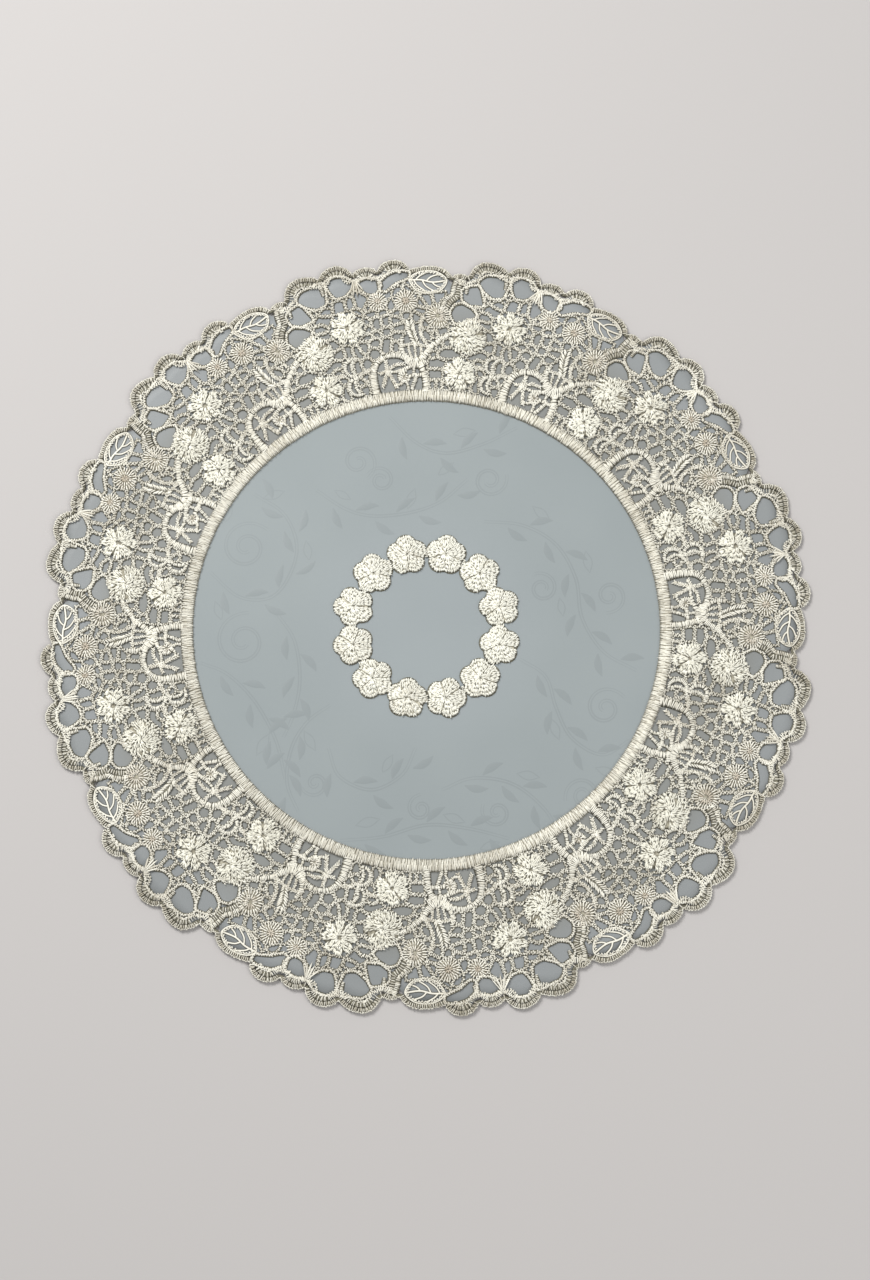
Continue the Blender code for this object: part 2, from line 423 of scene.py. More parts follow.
flowerThread = threadMaterial("flowerThread", {
    "lightColour": (0.9, 0.88, 0.765), "shadeColour": (0.49, 0.45, 0.345), "roughness": 0.45, "sheen": 0.25,
    "gloss": 0.45, "patchScale": 40.0, "fibre": 0.5,
})
# painted shade: a near-black pad whose colour stands for the shade in the gaps and round the stitches
paintedShadePad = padMaterial("paintedShadePad", (0.2, 0.188, 0.135), (0.08, 0.073, 0.052), 0.85)
paddingThread = padMaterial("paddingThread", (0.68, 0.65, 0.53), (0.42, 0.39, 0.3), 0.8)
# painted shade: a darker pad under flowers, rosettes and heading, so the gaps between their stitches look
# shaded
shadedPadding = padMaterial("shadedPadding", (0.46, 0.43, 0.335), (0.24, 0.22, 0.165), 0.85)
print("materials made")


# The cloth

cloth = {
    "radii": [0, 12, 24, 36, 48, 60, 72, 84, 96, 108, 120, 130, 140, 150, 160, 170, 178, 184],
    "stepsPerRepeat": 36,
    "outer": 190.0,
    "swell": 0.12,  # how far the cloth sinks in places
    "swellLengths": (31, 37),
    "swellStarts": (1.3, -0.6),
    "inset": 4.0,  # the lace's rim reaches this far past it
    "underside": 0.05,
    "tonesAndShade": [  # where each pair of tones begins and is whole, darker and lighter tone; from 45 mm out the cloth is a little darker, and from 120 mm out the darker tones are painted shade of the lace over the cloth
        (0, 1, (0.25, 0.279, 0.284), (0.264, 0.294, 0.298)),
        (45, 70, (0.238, 0.268, 0.27), (0.256, 0.286, 0.287)),
        (120, 127, (0.19, 0.194, 0.18), (0.22, 0.226, 0.212)),
        (164, 178, (0.21, 0.222, 0.22), (0.24, 0.254, 0.256)),
    ],
}
scallops = {
    "firstValley": (-17.7, 194.4),
    # end of each scallop in degrees, radius there, radius of its crown
    "arcs": [(-10.9, 190.2, 196.2), (-8.3, 191.3, 192.4), (-2.05, 197.0, 201.0), (3.3, 195.0, 202.0),
             (7.2, 194.8, 197.9), (12.3, 194.4, 200.3)],
    "footTurn": 18.0,
}


def scallopedEdge(stepsPerArc=9):  # (degrees, radius) through one repeat, without its last point
    places = []
    deg, radius = scallops["firstValley"]
    foot = math.radians(scallops["footTurn"])
    for endDeg, endRadius, crown in scallops["arcs"]:
        for step in range(stepsPerArc):
            turn = math.pi - foot - (math.pi - 2 * foot) * step / stepsPerArc
            across = 0.5 + 0.5 * math.cos(turn) / math.cos(foot)
            rise = (math.sin(turn) - math.sin(foot)) / (1 - math.sin(foot))
            base = radius + (endRadius - radius) * across
            places.append((deg + (endDeg - deg) * across, base + (crown - base) * rise))
        deg, radius = endDeg, endRadius
    return places


scallopPlaces = np.array(scallopedEdge())


def edgeRadius(turns):  # the mat's reach in any direction, in degrees clockwise from a daisy
    start = scallops["firstValley"][0]
    return np.interp((turns - start) % layout["turn"] + start, scallopPlaces[:, 0], scallopPlaces[:, 1],
                     period=layout["turn"])


def clothHeight(x, y):
    (lengthX, lengthY), (startX, startY) = cloth["swellLengths"], cloth["swellStarts"]
    waves = np.sin(x / lengthX + startX) * np.cos(y / lengthY + startY)
    return clothTop - cloth["swell"] * (0.5 + 0.5 * waves)


def makeCloth():
    steps = cloth["stepsPerRepeat"] * layout["repeats"]
    form = bmesh.new()
    line = [form.verts.new((radius, 0, 0)) for radius in [*cloth["radii"], cloth["outer"]]]
    edges = [form.edges.new(pair) for pair in zip(line, line[1:])]
    bmesh.ops.spin(form, geom=line + edges, cent=(0, 0, 0), axis=(0, 0, 1), angle=2 * math.pi, steps=steps,
                   use_merge=True)
    bmesh.ops.remove_doubles(form, verts=form.verts, dist=0.001)
    inner = cloth["radii"][-3]
    for vert in form.verts:
        radius = math.hypot(vert.co.x, vert.co.y)
        if radius > inner:
            turn = layout["firstDaisy"] - math.degrees(math.atan2(vert.co.y, vert.co.x))
            reach = float(edgeRadius(turn)) - cloth["inset"]
            stretched = inner + (radius - inner) / (cloth["outer"] - inner) * (reach - inner)
            vert.co.xy *= stretched / radius
        vert.co.z = clothHeight(vert.co.x, vert.co.y)
    bmesh.ops.recalc_face_normals(form, faces=form.faces)
    if sum(face.normal.z for face in form.faces) < 0:
        bmesh.ops.reverse_faces(form, faces=form.faces)
    made = bmesh.ops.extrude_face_region(form, geom=list(form.faces))
    for vert in made["geom"]:
        if isinstance(vert, bmesh.types.BMVert):
            vert.co.z = cloth["underside"]
    bmesh.ops.recalc_face_normals(form, faces=form.faces)
    bmesh.ops.scale(form, verts=form.verts, vec=(mm, mm, mm))
    mesh = bpy.data.meshes.new("clothSheet")
    form.to_mesh(mesh)
    form.free()
    mesh.shade_smooth()
    piece = bpy.data.objects.new("clothSheet", mesh)
    bpy.context.collection.objects.link(piece)
    return piece


def clothMaterial(name, shadeOver=1.0, roughness=0.55):
    material, nodes, links = newMaterial(name)
    shader = nodes["Principled BSDF"]
    shader.inputs["Roughness"].default_value = roughness
    shader.inputs["Sheen Weight"].default_value = 0.15
    place = nodes.new("ShaderNodeTexCoord")
    weave = []
    for turn in (0.0, 90.0):
        lie = nodes.new("ShaderNodeMapping")
        lie.inputs["Rotation"].default_value = (0, 0, math.radians(turn))
        links.new(place.outputs["Object"], lie.inputs["Vector"])
        wave = nodes.new("ShaderNodeTexWave")
        wave.inputs["Scale"].default_value = 700.0
        wave.inputs["Distortion"].default_value = 0.6
        links.new(lie.outputs["Vector"], wave.inputs["Vector"])
        weave.append(wave)
    cross = nodes.new("ShaderNodeMath")
    cross.operation = "MULTIPLY"
    links.new(weave[0].outputs["Fac"], cross.inputs[0])
    links.new(weave[1].outputs["Fac"], cross.inputs[1])
    patches = nodes.new("ShaderNodeTexNoise")
    patches.inputs["Scale"].default_value = 14.0
    links.new(place.outputs["Object"], patches.inputs["Vector"])
    fromCentre = nodes.new("ShaderNodeVectorMath")
    fromCentre.operation = "LENGTH"
    links.new(place.outputs["Object"], fromCentre.inputs[0])
    colour = None
    # tones further out are mixed in by distance from the centre; the outer two are painted shade of the lace
    for begins, whole, dark, light in cloth["tonesAndShade"]:
        ramp = colourRamp(nodes, [c * shadeOver for c in dark], [c * shadeOver for c in light], 0.3, 0.7)
        links.new(patches.outputs["Fac"], ramp.inputs["Fac"])
        if colour is None:
            colour = ramp.outputs["Color"]
            continue
        share = nodes.new("ShaderNodeMapRange")
        share.inputs["From Min"].default_value = begins * mm
        share.inputs["From Max"].default_value = whole * mm
        links.new(fromCentre.outputs["Value"], share.inputs["Value"])
        mix = nodes.new("ShaderNodeMix")
        mix.data_type = "RGBA"
        links.new(share.outputs["Result"], mix.inputs[0])
        links.new(colour, mix.inputs[6])
        links.new(ramp.outputs["Color"], mix.inputs[7])
        colour = mix.outputs[2]
    links.new(colour, shader.inputs["Base Color"])
    bumpFrom(nodes, links, cross.outputs[0], shader, 0.35, 0.05)
    return material


clothSheet = makeCloth()
clothSheet.data.materials.append(clothMaterial("damaskCloth"))
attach(clothSheet, "root")
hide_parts("ground_cloth")
print("cloth made")


# The woven figure: scrolling stems, curls and leaves, a hair above the cloth

figure = {
    "rise": 0.03,
    "shade": 0.915,
    "lineWidth": 0.75,
    "lineEnd": 0.3,
    "lineGap": 1.3,
    "leafPitch": 11.0,
    "leafLength": 15.0,
    "leafBend": (55, 15),  # away from its stem, at its foot and at its tip
    "leafWidths": [0.5, 2.6, 4.2, 4.0, 2.4, 0.4],
    "stems": [
        [(-117, -20), (-103, -26), (-89, -40), (-78, -60), (-73, -80)],
        [(-50, -41), (-62, -50), (-70, -64), (-72, -82), (-66, -97)],
        [(-78, 6), (-69, -8), (-66, -28), (-69, -46), (-74, -58)],
        [(-113, 28), (-98, 15), (-82, 14), (-72, 24), (-67, 42), (-74, 60), (-90, 71)],
        [(-58, 72), (-43, 62), (-28, 58), (-8, 60), (8, 66), (22, 78)],
        [(30, 55), (50, 53), (67, 43), (77, 25), (80, 4), (91, -14), (108, -24)],
        [(48, -18), (61, -27), (66, -43), (74, -59), (90, -68), (105, -60)],
        [(-51, -64), (-45, -79), (-28, -86), (-12, -78), (-5, -64)],
        [(-44, -112), (-22, -110), (0, -104), (22, -106), (42, -111)],
        [(8, -86), (24, -80), (44, -83), (60, -96), (66, -108)],
        [(-20, 112), (-6, 98), (10, 92), (30, 97), (48, 106)],
    ],
    "curls": [  # centre, outer radius, where it starts, how far it winds in
        (-94, 42, 15, 40, 620), (-95, -8, 16, 80, 600), (-57, -82, 8, 200, 520), (92, -43, 12, 30, 560),
        (95, 16, 10, 260, 540), (36, -97, 9, 150, 520), (-3, -95, 8, 90, 520), (-36, 88, 11, 300, 540),
        (33, 78, 9, 20, -520), (-24, 78, 7, 160, -500), (80, -88, 9, 200, -520), (60, 20, 8, 120, -500),
    ],
    "leaves": [  # middle, length, turn
        (-84, -62, 13, 60), (-60, -60, 12, 120), (-62, 40, 11, 100), (-80, 70, 12, 20), (-44, 70, 10, 150),
        (-8, 68, 12, 70), (60, 60, 12, -40), (84, 34, 12, -80), (70, 10, 10, 100), (66, -54, 12, -70),
        (92, -76, 12, -20), (-30, -102, 13, 15), (14, -100, 12, 160), (32, -114, 11, 20), (52, -78, 12, -10),
        (-20, -72, 11, 60), (10, 84, 11, 40), (20, 104, 12, 10), (-104, 60, 11, 70), (-108, 8, 11, 110),
    ],
}


def curlPath(x, y, radius, start, sweep):
    shares = np.linspace(0, 1, 40)
    reach = radius * (1 - 0.78 * shares**0.8)
    return np.array([x, y]) + pointing(start + sweep * shares) * reach[:, None]


def leafPath(x, y, length, turn):
    shares = np.linspace(0, 2 * np.pi, 24, endpoint=False)
    shape = np.stack([np.cos(shares) * length / 2, np.sin(shares) ** 3 * length * 0.19], axis=1)
    return np.array([x, y]) + spun(shape, turn)


def makeFigure():
    ribbons = []
    lineWidth, lineEnd = figure["lineWidth"], figure["lineEnd"]
    steps = len(figure["leafWidths"])
    for stem in figure["stems"]:
        path = smoothPath(np.array(stem, float))
        for distance in (0, figure["lineGap"]):
            ribbons.append(ribbon(beside(path, distance), [lineEnd, lineWidth, lineEnd], 0))
        points, aim, _ = evenly(path, figure["leafPitch"])
        for number, (point, way) in enumerate(zip(points[1:-1], bearing(aim)[1:-1])):
            side = 1 if number % 2 else -1
            bend = way + side * np.linspace(*figure["leafBend"], steps)
            line = point + np.cumsum(pointing(bend), axis=0) * figure["leafLength"] / steps
            ribbons.append(ribbon(line, figure["leafWidths"], 0))
    for curl in figure["curls"]:
        path = curlPath(*curl)
        for distance in (0, figure["lineGap"]):
            ribbons.append(ribbon(beside(path, distance), [lineEnd, lineWidth * 1.2, 0.5], 0))
    for leaf in figure["leaves"]:
        ribbons.append(ribbon(leafPath(*leaf), lineWidth * 0.8, 0, closed=True))
    corners, faces = ribbonMesh(ribbons, figure["rise"])
    corners[:, 2] += clothHeight(corners[:, 0], corners[:, 1])
    material = clothMaterial("damaskFigure", figure["shade"], 0.45)
    return meshPiece("damaskFigure", corners, faces, material, smooth=False)


damaskFigure = makeFigure()
print("woven figure made")


# The lace's bands: the wheel, the open ring, the double arcs and the fan's side

bandLevel = clothTop + 0.6
padLevel = clothTop + 0.05
bands = {  # places, width along them, and how far some are raised
    "wheel": {"places": [(3.1, 126.8), (3.0, 132.5), (3.3, 138.0), (4.1, 142.8), (5.6, 146.0), (7.4, 147.2),
                         (9.2, 146.8), (10.6, 145.0), (11.4, 143.0)],
              "width": [5.4, 4.8, 4.2, 3.2, 2.8, 2.6, 2.8, 3.2, 3.6]},
    "openRing": {"places": [(10.2, 155.2), (10.0, 151.8), (10.2, 148.4), (11.1, 145.0), (12.6, 143.2),
                            (14.0, 144.4), (15.0, 147.6), (15.7, 150.6), (17.0, 153.6), (18.4, 156.4),
                            (19.8, 158.8)],
                 "width": [2.0, 2.2, 2.6, 3.6, 4.6, 4.2, 3.2, 2.8, 2.6, 2.4, 2.0]},
    "ringFoot": {"places": [(10.6, 143.4), (12.0, 141.2), (13.4, 141.0), (14.8, 142.6)],
                 "width": [2.6, 3.8, 3.8, 2.4]},
    "leg": {"places": [(14.9, 126.5), (14.8, 131.5), (14.4, 136.5), (13.7, 141.0)],
            "width": [3.6, 3.4, 3.6, 3.8]},
    "upperArc": {"places": [(0.5, 148.8), (-1.3, 148.6), (-2.2, 146.6), (-2.3, 143.4), (-1.7, 140.6),
                            (-0.4, 139.4)],
                 "width": [1.6, 2.0, 2.0, 2.0, 1.9, 1.4], "lift": 0.2},
    "upperArcInner": {"places": [(-0.3, 147.6), (-0.85, 145.6), (-0.95, 142.8), (-0.5, 140.2)],
                      "width": [1.4, 1.7, 1.7, 1.4], "lift": 0.2},
    "lowerArc": {"places": [(0.2, 138.6), (-1.4, 138.0), (-2.4, 135.8), (-2.6, 132.4), (-1.8, 129.6),
                            (-0.3, 128.9)],
                 "width": [1.4, 1.9, 2.0, 2.0, 1.9, 1.6], "lift": 0.2},
    "lowerArcInner": {"places": [(-0.7, 137.6), (-1.05, 135.6), (-1.1, 132.6), (-0.6, 130.4)],
                      "width": [1.4, 1.7, 1.7, 1.4], "lift": 0.2},
    "smallWheelRim": {"places": [(10.4, 138.0), (9.2, 137.2), (8.8, 134.8), (9.5, 132.6), (10.8, 132.9),
                                 (11.2, 134.8)],
                      "width": [1.4, 1.8, 1.8, 1.8, 1.6, 1.2]},
    "wheelBar": {"places": [(6.4, 138.6), (8.2, 138.0), (10.2, 139.2), (11.6, 140.4)],
                 "width": [1.6, 1.5, 1.8, 2.6]},
    "smallWheelArm": {"places": [(11.2, 135.0), (12.6, 135.4), (14.2, 135.2)], "width": [2.2, 1.9, 2.2]},
    "legSlant": {"places": [(12.8, 135.0), (12.2, 131.6), (11.5, 127.6)], "width": [2.0, 1.8, 2.0]},
    "legCross": {"places": [(12.2, 140.6), (12.2, 138.0), (12.3, 135.6)], "width": [1.4, 1.3, 1.4]},
    "starFoot": {"places": [(8.0, 130.6), (9.0, 131.0), (9.8, 132.4)], "width": [1.4, 1.3, 1.4]},
    "footCross": {"places": [(10.2, 132.4), (10.7, 130.0), (10.6, 127.6)], "width": [1.6, 1.4, 1.6]},
}
nearTurns = (0.0, layout["turn"], -layout["turn"])  # a repeat and the two beside it
laceRows = {"netInner": [], "netOuter": [], "bands": [], "rim": [], "flowers": [], "rosettes": []}
# dark ribbons of painted shade, and light satin pads
shadeRibbons, satinRibbons = [], []
keptClear = []  # circles that the net's gaps stay out of


# how much wider than its band the dark pad of painted shade is; the light pad's share of that width, and its
# lift
bandPad = {"past": 0.5, "share": 0.9, "lift": 0.16}


def padBand(path, width):  # a light pad on a dark one of painted shade that shows as its outline
    shadeRibbons.append(ribbon(path, np.array(width) + bandPad["past"], padLevel))
    satinRibbons.append(ribbon(path, np.array(width) * bandPad["share"], padLevel + bandPad["lift"]))


def keepClear(path, width, closed=False):
    points, _, shares = evenly(path, 1.6, closed)
    keptClear.extend({"at": point, "size": size} for point, size in zip(points, along(width, shares) / 2))


bandWork = {"pitch": 0.8, "arch": 0.14, "thread": 0.76, "shade": 0.35}
for band in bands.values():
    path = smoothPath(spots(band["places"]))
    width = np.array(band["width"])
    lift = band.get("lift", 0)
    keepClear(path, width)
    laceRows["bands"].append(crossStitches(path, width + bandPad["past"], bandWork["pitch"], bandLevel + lift,
                                           bandWork["arch"], bandWork["thread"],
                                           shade=bandWork["shade"] + lift))
    padBand(path, width)

cords = {  # slanting stitches along thin lines: places, width
    "starDown": ([(6.35, 139.0), (5.7, 134.6), (4.8, 130.4)], 1.6),
    "starLeft": ([(6.35, 139.0), (4.6, 138.2)], 1.4),
    "starUp": ([(6.35, 139.0), (6.5, 142.0), (6.3, 145.0)], 1.6),
    "starRight": ([(6.35, 139.0), (7.2, 134.6), (8.0, 129.0)], 1.6),
    "starFar": ([(6.35, 139.0), (8.2, 141.6), (10.2, 141.8)], 1.5),
    "featherSide": ([(14.4, 168.0), (13.8, 163.0), (13.9, 157.4), (14.8, 153.0), (16.2, 149.6)], 1.3),
    "ringRungFirst": ([(11.3, 151.6), (11.5, 148.2), (11.9, 145.0)], 1.1),
    "ringRungSecond": ([(12.6, 151.8), (12.7, 148.2), (12.8, 144.8)], 1.1),
    "ringRungThird": ([(13.9, 151.2), (13.9, 148.2), (13.8, 145.4)], 1.1),
    "ringSill": ([(10.2, 152.0), (12.2, 152.6), (14.0, 151.8), (15.4, 150.8)], 1.4),
    "betweenArcAndFlower": ([(-4.9, 141.6), (-3.4, 141.8), (-2.4, 141.2)], 1.3),
    "betweenArcAndWheel": ([(0.3, 139.0), (1.6, 140.6), (3.4, 141.0)], 1.3),
}
for places, width in cords.values():
    path = smoothPath(spots(places))
    keepClear(path, width)
    laceRows["bands"].append(plaitStitches(path, width * 1.4, 0.6, bandLevel + 0.05, 42, width * 0.3))
    padBand(path, width)

feather = {"rib": [(11.9, 164.4), (12.1, 160.0), (12.6, 155.6), (13.2, 152.0)], "ribWidth": 1.4,
           "barb": 3.9, "pitch": 1.3, "lean": 44, "thread": 0.95,
           "pad": [3.4, 5.0, 5.0, 3.4], "clear": [4.0, 6.0, 6.0, 4.0]}
rib = smoothPath(spots(feather["rib"]))
ribPoints, ribAim, ribShares = evenly(rib, feather["pitch"])
for side in (-1, 1):
    lean = bearing(-ribAim) + side * feather["lean"]
    reach = feather["barb"] * (0.7 + 0.3 * np.sin(np.pi * ribShares))
    middles = ribPoints + pointing(lean) * reach[:, None] * 0.52
    laceRows["bands"].append(rowsOf(middles, bandLevel + 0.1, lean, reach, feather["thread"], 0.12, 0.7, 0.4))
# a dark ribbon of painted shade under the barbs
shadeRibbons.append(ribbon(rib, feather["pad"], padLevel))
satinRibbons.append(ribbon(rib, feather["ribWidth"], padLevel + 0.2))
keepClear(rib, feather["clear"])

wideGaps = {  # outlines of the wide gaps under the rim
    "fanLowest": [(-8.8, 175.3), (-7.2, 173.2), (-6.2, 170.3), (-7.4, 166.7), (-9.7, 165.4), (-10.5, 170.0),
                  (-9.9, 174.1)],
    "fanSecond": [(-8.8, 183.2), (-7.9, 185.0), (-6.4, 186.3), (-5.8, 181.5), (-5.2, 176.6), (-7.3, 176.0),
                  (-8.7, 178.6)],
    "fanThird": [(-6.0, 190.2), (-5.2, 192.5), (-1.8, 193.7), (-1.9, 189.0), (-2.3, 182.9), (-3.8, 181.9),
                 (-5.3, 184.8), (-6.2, 188.0)],
    "fanFourth": [(-1.1, 193.4), (-0.1, 195.1), (1.6, 194.4), (3.2, 190.1), (1.3, 184.9), (-0.1, 184.7),
                  (-0.7, 188.0)],
    "fanFifth": [(3.8, 189.4), (5.0, 191.1), (6.8, 190.0), (7.3, 187.0), (6.3, 182.8), (5.1, 183.5),
                 (4.1, 187.0)],
    "crescent": [(7.6, 188.2), (8.9, 191.7), (10.5, 193.1), (12.0, 192.3), (11.8, 189.8), (9.8, 187.5),
                 (8.1, 183.6), (7.5, 185.0)],
}
wideEdge = {"beside": 0.75, "width": 1.75, "open": 1.08, "corners": 0.08, "pitch": 0.66, "lean": 62,
            "spread": 0.1}
for places in wideGaps.values():
    hole = softCorners(spots(places), wideEdge["corners"])
    hole = hole.mean(axis=0) + (hole - hole.mean(axis=0)) * wideEdge["open"]
    points, aim, _ = evenly(hole, 0.9, closed=True)
    away = sideways(aim)
    away *= np.sign(((points - points.mean(axis=0)) * away).sum())
    edging = points + away * wideEdge["beside"]
    keepClear(edging, 1.7, closed=True)
    keepClear(hole * 0.5 + hole.mean(axis=0) * 0.5, 5.0, closed=True)
    laceRows["bands"].append(plaitStitches(edging, wideEdge["width"], wideEdge["pitch"], bandLevel + 0.05,
                                           wideEdge["lean"], wideEdge["spread"], closed=True))
    # a dark ribbon of painted shade under the edging, showing round it
    shadeRibbons.append(ribbon(edging, wideEdge["width"] + bandPad["past"], padLevel, closed=True))

fanSide = {"line": [(-8.7, 188.4), (-9.0, 184.0), (-9.2, 178.6), (-10.3, 175.0), (-10.9, 170.4),
                    (-10.6, 167.2)],
           # distance from the line, width, pitch and thread of the open slits and of the satin beside them
           "rows": [(-2.1, 3.4, 1.3, 0.56), (-4.6, 3.0, 0.9, 0.8)]}
for distance, width, pitch, thread in fanSide["rows"]:
    path = beside(smoothPath(spots(fanSide["line"])), distance)
    keepClear(path, width)
    laceRows["bands"].append(crossStitches(path, width, pitch, bandLevel, 0.12, thread))
    # the satin row gets a padded band; the open slits lie on a dark ribbon of painted shade
    if pitch < 1:
        padBand(path, width)
    else:
        shadeRibbons.append(ribbon(path, width, padLevel))

sheaf = {"foot": (3.5, 191.8), "tips": [(1.9, 184.4), (2.6, 182.6), (3.3, 181.8), (4.0, 182.4), (4.6, 184.0)]}
for tip in sheaf["tips"]:
    ends = spots([sheaf["foot"], tip])
    step = ends[1] - ends[0]
    laceRows["bands"].append(rowsOf(ends.mean(axis=0)[None], bandLevel + 0.1, bearing(step[None]),
                                    np.linalg.norm(step), 0.9, 0.05, 0.8))
print("bands made")


# The leaf: smooth raised cords

leafCords = {  # places, width, whether closed
    "edge": ([(12.2, 188.4), (12.9, 191.4), (14.5, 193.3), (16.4, 193.0), (17.7, 190.8), (18.3, 188.3),
              (17.9, 184.6), (16.8, 181.6), (15.0, 180.8), (13.4, 182.4), (12.6, 185.4)], 0.85, True),
    "midrib": ([(12.0, 188.4), (14.1, 188.3), (16.0, 187.0), (18.4, 188.3)], 1.0, False),
    "lowFirst": ([(12.9, 188.4), (13.5, 185.2), (14.8, 182.0)], 0.85, False),
    "lowSecond": ([(14.3, 188.2), (14.9, 184.8), (16.4, 181.8)], 0.85, False),
    "lowThird": ([(15.9, 187.1), (16.5, 185.2), (17.8, 183.8)], 0.85, False),
    "highFirst": ([(13.2, 188.4), (13.9, 190.6), (15.2, 192.9)], 0.85, False),
    "highSecond": ([(15.0, 187.8), (15.7, 190.0), (17.2, 191.8)], 0.85, False),
}
# the stitches round the leaf
leafEdge = {"beside": -0.9, "width": 1.6, "pitch": 0.8, "lean": 55, "spread": 0.2}
leafRibbons = []
for places, width, closed in leafCords.values():
    path = smoothPath(spots(places), closed)
    leafRibbons.append(ribbon(path, width, clothTop + 0.35, pitch=0.8, closed=closed))
    # a dark ribbon of painted shade under each cord, showing round it
    shadeRibbons.append(ribbon(path, width * 1.5, padLevel, closed=closed))
    if closed:
        row = beside(path, leafEdge["beside"], closed=True)
        laceRows["bands"].append(plaitStitches(row, leafEdge["width"], leafEdge["pitch"], bandLevel,
                                               leafEdge["lean"], leafEdge["spread"], closed=True))


# Flowers

def lobeSwing(look, around):  # 1 along the middle of a lobe, 0 between two
    return np.abs(np.cos(look["lobes"] * (around - math.radians(look["start"])) / 2))


def flowerReach(look, around):  # how far a flower's edge is in each direction, in radians
    return look["radius"] * (1 - look["dip"] * (1 - lobeSwing(look, around) ** look["roundness"]))


def workedFlower(centre, look, level, rng):  # petals of fanned stitches in overlapping tiers
    rows = []
    half = 180 / look["lobes"]
    for lobe in range(look["lobes"]):
        middle = look["start"] + 2 * half * lobe + rng.normal(0, look["wander"])
        foot = centre + pointing(middle) * look["hole"]
        for tier, (near, far, share) in enumerate(look["tiers"]):
            count = max(3, int(round(look["radius"] * math.radians(2 * half) * far / look["across"])))
            offsets = np.linspace(-1, 1, count) * half * share
            around = middle + offsets
            reach = flowerReach(look, np.radians(around)) * (1 + rng.normal(0, look["ragged"], count))
            tips = centre + pointing(around) * reach[:, None]
            shift = rng.normal(0, look["mixed"] if tier else look["mixed"] / 3, (count, 1))
            ends = [foot + (tips - foot) * (part + shift * (part < 1 or tier > 0)) for part in (near, far)]
            step = ends[1] - ends[0]
            lift = look["rise"] * (1 - 0.5 * (near + far)) + 0.12 * tier
            # stitches towards a petal's sides are painted darker: painted shade between the petals
            rows.append(rowsOf((ends[0] + ends[1]) / 2, level + lift, bearing(step) + look["swirl"],
                               np.linalg.norm(step, axis=1), look["thread"], 0.1, 0.7,
                               look["shade"] - 0.3 * np.abs(offsets / half) ** 3))
    eye = {"middle": 0.9, "across": 0.95, "reach": 2.0, "shade": 0.3}  # a ring of stitches round the hole
    count = max(5, int(round(2 * math.pi * (look["hole"] + eye["middle"]) / eye["across"])))
    rows.append(spokeStitches(centre, look["hole"], look["hole"] + eye["reach"], count, level + look["rise"],
                              shade=eye["shade"]))
    return rows


def petalShadeRibbons(centre, look, level):  # painted shade: dark lines between the petals
    ribbons = []
    for lobe in range(look["lobes"]):
        between = look["start"] + 360 * (lobe + 0.5) / look["lobes"]
        reach = float(flowerReach(look, math.radians(between)))
        line = centre + pointing(between) * np.linspace(reach * 0.5, reach + 0.6, 5)[:, None]
        ribbons.append((line, np.linspace(0.2, 0.7, 5), level + look["rise"] * 0.3, False))
    return ribbons


flowerWork = {"thread": 0.66, "across": 0.62, "wander": 2.0, "ragged": 0.04, "swirl": 0, "shade": 0.5,
              "mixed": 0.05, "level": 0.75,
              # where each tier of stitches starts and ends, and how much of the petal's width it covers
              "tiers": [(0.62, 1.0, 0.84), (0.32, 0.72, 0.86), (0.08, 0.44, 0.84)]}
flowers = {
    "daisy": {"at": (0.35, 166.3), "radius": 9.6, "lobes": 8, "dip": 0.3, "start": 10, "roundness": 0.75,
              "hole": 1.0, "rise": 0.8},
    "innerFlower": {"at": (-7.7, 137.0), "radius": 9.2, "lobes": 6, "dip": 0.26, "start": 20,
                    "roundness": 0.7, "hole": 0.7, "rise": 0.8},
    "pompom": {"at": (-7.0, 157.5), "radius": 9.7, "lobes": 9, "dip": 0.1, "start": 0, "roundness": 0.8,
               "hole": 0.35, "rise": 1.0, "ragged": 0.08, "swirl": 14, "wander": 6.0,
               "tiers": [(0.74, 1.0, 1.0), (0.5, 0.8, 0.95), (0.28, 0.58, 0.95), (0.05, 0.36, 0.9)]},
}
rosettes = {  # rings: inner and outer radius, count, height above the lace, shade
    "tanRosette": {"at": (-12.9, 168.2), "radius": 6.6, "thread": 0.66, "rise": 0.5,
                   "rings": [(3.5, 7.0, 24, 0.0, 0.5), (1.0, 4.3, 15, 0.35, -0.3)]},
    "firstRing": {"at": (6.6, 178.0), "radius": 4.9, "thread": 0.7, "rise": 0.4,
                  "rings": [(2.9, 5.6, 20, 0.0, 0.6), (1.4, 3.7, 14, 0.3, 0.7), (0.1, 1.9, 7, 0.45, -0.7)]},
    "secondRing": {"at": (11.4, 176.6), "radius": 5.8, "thread": 0.7, "rise": 0.4,
                   "rings": [(3.4, 6.4, 23, 0.0, 0.5), (1.8, 4.3, 16, 0.3, 0.5), (0.1, 2.4, 8, 0.5, -1.0)]},
    "smallWheel": {"at": (9.95, 134.9), "radius": 2.6, "thread": 0.7, "rise": 0.2,
                   "rings": [(0.5, 2.6, 8, 0.0, 0.2)]},
}
rosetteLevel = clothTop + 0.65
makers = np.random.default_rng(5)
laceMounds, lacePetalShade = [], []
for look in flowers.values():
    look.update({**flowerWork, **look})
    laceRows["flowers"] += workedFlower(spot(look["at"]), look, clothTop + look["level"], makers)
    laceMounds.append(moundMesh(spot(look["at"]), look, padLevel))
    if not look["swirl"]:
        lacePetalShade += petalShadeRibbons(spot(look["at"]), look, padLevel)
for look in rosettes.values():
    look.update({"lobes": 1, "dip": 0.0, "start": 0, "roundness": 1.0})
    for inner, outer, count, lift, shade in look["rings"]:
        laceRows["rosettes"].append(spokeStitches(spot(look["at"]), inner, outer, count, rosetteLevel + lift,
                                                  0.08, look["thread"], shade=shade))
    laceMounds.append(moundMesh(spot(look["at"]), look, padLevel))
print("flowers made")


# The net: gaps of one repeat, and a plaited bar between each two that touch

